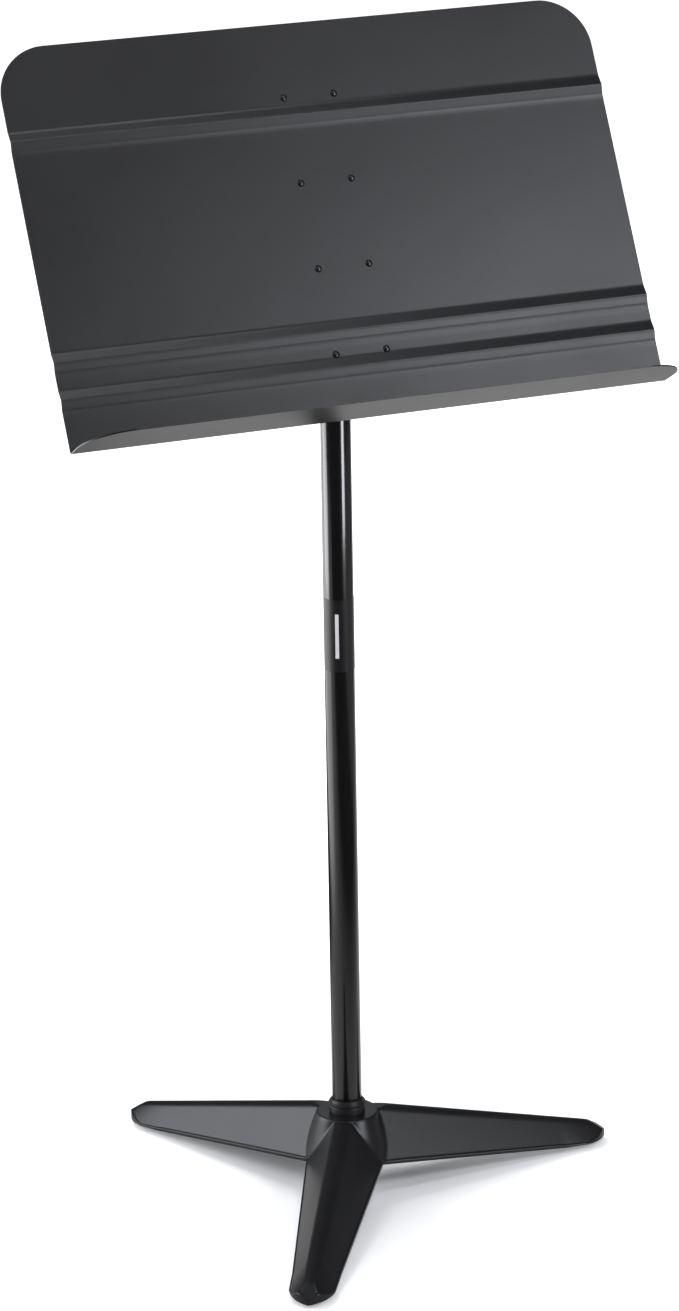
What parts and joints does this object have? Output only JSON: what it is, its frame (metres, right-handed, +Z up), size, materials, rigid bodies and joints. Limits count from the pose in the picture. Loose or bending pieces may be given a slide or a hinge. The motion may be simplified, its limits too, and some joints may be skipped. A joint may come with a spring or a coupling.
{
  "type": "music stand",
  "caption": "Black steel music stand with a ribbed desk and ledge, sliding and swivelling pole, friction tilt and a pressed three-legged base.",
  "frame": {"origin": "on the floor under the pole's axis, at the stand's lowest setting", "axes": "+Z up the pole, -Y towards the reader, +X to the reader's right"},
  "size_m": [0.508, 0.4178, 0.9868],
  "materials": {
    "black_coat": "satin powder coat",
    "tube_coat": "satin enamel",
    "head_coat": "fine cast texture, black",
    "rivet_coat": "satin black over steel",
    "zinc_steel": "bright zinc",
    "spring_steel": "oiled spring steel",
    "plated_tube": "bright plated",
    "nylon": "moulded nylon",
    "fibre": "pressed fibre",
    "rubber": "matt",
    "label": "smooth printed film"
  },
  "bodies": {
    "base": {"base_shell": "black_coat", "hub_plate": "black_coat", "foot_bridges": "black_coat", "rubber_feet": "rubber", "base_washer": "zinc_steel", "base_lock_washer": "spring_steel", "base_bolt": "zinc_steel", "tube_plug": "zinc_steel", "tube_collar": "nylon", "collar_cone": "nylon", "outer_tube": "tube_coat", "pole_label": "label", "guide_bushing": "nylon"},
    "clutch": {"clutch_core": "zinc_steel", "clutch_fingers": "spring_steel", "clutch_washer": "zinc_steel", "clutch_screw": "zinc_steel", "clutch_clip": "spring_steel"},
    "shaft": {"inner_tube": "plated_tube", "shaft_end_plug": "nylon", "tilt_head": "head_coat", "head_pin": "spring_steel", "tilt_bushings": "nylon"},
    "desk": {"desk_panel": "black_coat", "back_brace": "black_coat", "tilt_bracket": "black_coat", "desk_rivets": "rivet_coat", "friction_washers": "fibre", "flat_washers": "zinc_steel", "spring_washers": "spring_steel", "tilt_bolt": "zinc_steel", "tilt_nut": "zinc_steel"}
  },
  "joints": [
    {"name": "height_slide", "type": "slide", "parent": "base", "child": "clutch", "axis": [0, 0, 1], "range_m": [0, 0.52]},
    {"name": "desk_swivel", "type": "hinge", "parent": "clutch", "child": "shaft", "pos_m": [0, 0, 0.7969], "axis": [0, 0, 1], "continuous": true},
    {"name": "desk_tilt", "type": "hinge", "parent": "shaft", "child": "desk", "pos_m": [0, 0, 0.7969], "axis": [1, 0, 0], "range_deg": [-61, 29]}
  ]
}
